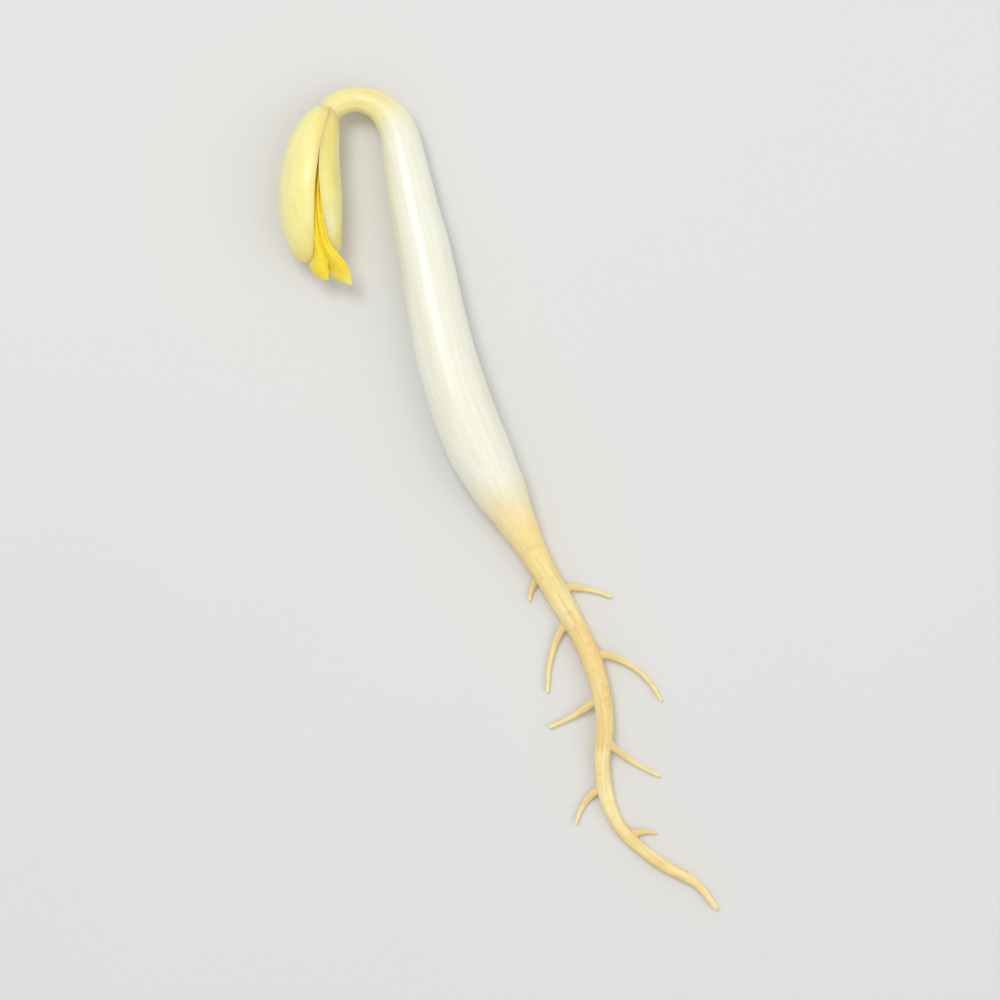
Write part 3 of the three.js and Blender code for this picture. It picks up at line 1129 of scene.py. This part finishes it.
finish = Finish(
    "root_rind",
    Subsurface_Weight=0.25,
    Subsurface_Radius=(1.0, 0.7, 0.4),
    Subsurface_Scale=0.0004,
    IOR=1.4,
)
share = finish.note("run_share")
rings = finish.noise(finish.grain((0.7, 0.7, 1)), size=0.45)
fibres = finish.noise(finish.grain((1, 1, 0.07)), size=0.14)
clouds = finish.noise(finish.grain((1, 1, 0.4)), size=1.7)
start = 1 - finish.window(share.uneven(clouds, 0.1), 0.0, 0.14)
rind = finish.blend(finish.window(clouds, 0.35, 0.65), ROOT_TAN, ROOT_PALE)
rind = finish.blend(start * 0.9, rind, COLLAR_TAN)
# painted fold shade, in fine lengthwise streaks and round rings
rind = finish.tint(rind, ROOT_FOLD_SHADE, fibres, between=(0.45, 0.75), amount=0.45 - start * 0.25)
rind = finish.tint(rind, ROOT_FOLD_SHADE, rings, between=(0.52, 0.78), amount=0.35 - start * 0.3)
rind = finish.tint(rind, ROOT_PALE, share, between=(0.9, 1.0), amount=0.6)
root_rind = finish.shade(
    Base_Color=rind,
    Roughness=0.5 + rings * 0.2,
    Normal=finish.bump(rings * 0.4 + fibres * 0.7),
)
wear(root, root_rind)

# %% [markdown]
# ## The seed leaves' finish
#
# A seed leaf is firm and waxy and lets a little light in. It is pale yellow on its back. At its
# rim and on the inner face, along the seam, it is a warm orange yellow, partly its own tone and
# partly painted shade of the groove between the two halves. Fine veins run along it and branch.
# A curve for each branch would be slow work, and the edges of uneven cells, swayed by noise, make
# much the same faint net.

# %% Finish the seed leaves
LEAF_CREAM = colour("FFF3AE")
LEAF_YELLOW = colour("FCE37C")
# the rim and inner face: partly their own warm tone, partly painted shade of the seam's groove
LEAF_RIM_AND_SEAM_SHADE = colour("FCDF86")
LEAF_END = colour("FBDD66")
WARMTH = {"left": 0.6, "right": 0.85}  # the narrower half has given up more and is yellower


def seed_leaf_finish(side):
    finish = Finish(
        "seed_leaf_" + side,
        Subsurface_Weight=0.5,
        Subsurface_Radius=(1.0, 0.8, 0.3),
        Subsurface_Scale=0.0011,
        Coat_Roughness=0.2,
        IOR=1.42,
    )
    share = finish.note("run_share")
    outward = finish.grain_part("X") * HANDS[side]
    clouds = finish.noise(finish.grain((1, 1, 0.5)), size=1.3)
    streaks = finish.noise(finish.grain((1, 1, 0.12)), size=0.4, detail=4)
    grains = finish.noise(finish.grain((1, 1, 0.7)), size=0.09, detail=2)
    # near the inner face, along the seam, where the warm tone and the painted groove shade go
    rim_and_seam_shade = 1 - finish.window(outward.uneven(streaks, 0.25), 0.12, 0.62)
    ends = share.uneven(clouds, 0.2)
    sway = finish.add("ShaderNodeTexNoise", {}, {"Vector": finish.grain(), "Scale": 0.9}, "Color")
    swayed = {0: finish.grain((1, 1, 0.4)), 1: sway}
    veins = finish.net(finish.add("ShaderNodeVectorMath", {"operation": "ADD"}, swayed), 0.62)
    skin = finish.tint(LEAF_CREAM, LEAF_YELLOW, clouds, between=(0.36, 0.7), amount=WARMTH[side])
    skin = finish.tint(skin, LEAF_YELLOW, streaks, between=(0.5, 0.72), amount=0.45)
    skin = finish.blend(rim_and_seam_shade * 0.9, skin, LEAF_RIM_AND_SEAM_SHADE)
    skin = finish.tint(skin, LEAF_END, ends, between=(0.72, 1.0), amount=0.5)
    skin = finish.blend(veins * 0.14, skin, LEAF_RIM_AND_SEAM_SHADE)
    return finish.shade(
        Base_Color=skin,
        Roughness=0.38 + clouds * 0.12,
        Coat_Weight=0.3,
        Normal=finish.bump(streaks * 0.6 + grains * 0.25 - veins * 0.3),
    )


for side, leaf in seed_leaves.items():
    wear(leaf, seed_leaf_finish(side))

# %% [markdown]
# ## The first leaves' finish
#
# The blades are thin and a strong warm yellow. The side veins are paler and stand a little
# proud, and they are drawn by a sine wave with the spacing and slant of the sculpted ones. The
# tips are pale, with a few faint brown specks.

# %% Finish the first leaves
BLADE_YELLOW = colour("FBE33C")
BLADE_DEEP = colour("F5CF24")
BLADE_VEIN = colour("FCF08C")
TIP_PALE = colour("FBF2A0")
TIP_BROWN = colour("A8702A")

finish = Finish(
    "first_leaf",
    Subsurface_Weight=0.3,
    Subsurface_Radius=(1.0, 0.75, 0.1),
    Subsurface_Scale=0.0005,
    Coat_Roughness=0.25,
    IOR=1.4,
)
bend = finish.noise(finish.grain(), size=0.8, detail=1)
slant = finish.grain_part("Z") - finish.grain_part("Y") * VEIN_SLANT + bend * 0.3
vein = finish.window(slant.wave(VEIN_SPACING), 0.8, 1.0)
clouds = finish.noise(finish.grain(), size=0.7)
specks = finish.window(finish.noise(finish.grain(), size=0.22, detail=2), 0.63, 0.72)
tips = finish.window(finish.note("run_share"), 0.91, 1.0)
skin = finish.tint(BLADE_YELLOW, BLADE_DEEP, clouds, between=(0.4, 0.7), amount=0.5)
skin = finish.blend(vein * 0.2, skin, BLADE_VEIN)
skin = finish.blend(tips * 0.6, skin, TIP_PALE)
skin = finish.blend(specks * tips * 0.5, skin, TIP_BROWN)
blade_skin = finish.shade(
    Base_Color=skin,
    Roughness=0.42 + clouds * 0.12,
    Coat_Weight=0.25,
    Normal=finish.bump(vein * 0.25 + clouds * 0.6, strength=0.6),
)
for one in blades:
    wear(one, blade_skin)

# %% [markdown]
# ## Back to life size
#
# The pieces were modelled a thousand times too large and about the middle of the stem. Each is
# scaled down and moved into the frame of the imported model, and both are applied to its mesh, so
# that its object sits at the origin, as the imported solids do. It then rides on the sprout's one
# body and takes the place of its solid.

# %% Scale the pieces down, move them into the frame and hand them over
MODEL_MIDDLE = Vector((3.76, -7.854, 0))  # the frame's origin in the modelling places, in mm


def hand_over(piece, node):
    bpy.ops.object.select_all(action="DESELECT")
    piece.select_set(True)
    bpy.context.view_layer.objects.active = piece
    piece.scale = (MM, MM, MM)
    piece.location = -MODEL_MIDDLE * MM
    bpy.ops.object.transform_apply()
    bpy.ops.object.shade_smooth()
    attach(piece, "root")
    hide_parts(node)
    print(piece.name, "size in mm:", [round(side / MM, 2) for side in piece.dimensions])


hand_over(stem, "hypocotyl")
hand_over(root, "root")
for side, leaf in seed_leaves.items():
    hand_over(leaf, "seed_leaf_" + side)
for one in blades:
    hand_over(one, "primary_leaves")

# %% [markdown]
# ## The surface and the light
#
# The sprout lies on a plain pale surface, a shade darker than the stem, so that the white stem
# stands out from it. One broad soft light from the upper left shows the roundness, and a weaker
# one opposite keeps the shadow soft. A pale room all round lights what they leave out.

# %% Lay the surface
FLOOR_SIDE = 2.0
FLOOR_GREY = colour("D9D9D7")
FLOOR_CLOUD = colour("DDDDDB")
FLOOR_CLOUD_SIZE = 0.03

bpy.ops.object.select_all(action="DESELECT")
bpy.ops.mesh.primitive_plane_add(size=FLOOR_SIDE)
floor = bpy.context.object
floor.name = "floor"
finish = Finish("pale_surface", Roughness=0.65)
cloud = finish.noise(finish.add("ShaderNodeTexCoord", output="Object"), FLOOR_CLOUD_SIZE)
wear(floor, finish.shade(Base_Color=finish.blend(cloud, FLOOR_GREY, FLOOR_CLOUD)))
floor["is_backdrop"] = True

# %% Set the lights
SKY = 0.6
KEY = {"place": (-0.06, 0.09, 0.24), "size": 0.1, "power": 0.26}
FILL = {"place": (0.14, -0.03, 0.19), "size": 0.2, "power": 0.12}


def soft_light(name, place, size, power):
    bpy.ops.object.light_add(type="AREA", location=place)
    light = bpy.context.object
    light.name = name
    light.data.size = size
    light.data.energy = power
    light.rotation_euler = (-Vector(place)).to_track_quat("-Z", "Y").to_euler()
    light.visible_camera = False


soft_light("key_light", **KEY)
soft_light("fill_light", **FILL)
world = bpy.data.worlds.new("pale_room")
world.use_nodes = True
world.node_tree.nodes["Background"].inputs["Color"].default_value = (SKY, SKY, SKY, 1)
bpy.context.scene.world = world
bpy.context.scene.view_settings.view_transform = "Standard"

# %% Measure the dressed sprout and close
sizes = {"cad": cad_box, "visual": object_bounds()}
for name, (lowest, highest) in sizes.items():
    print(name, [round((b - a) / MM, 2) for a, b in zip(lowest, highest)])
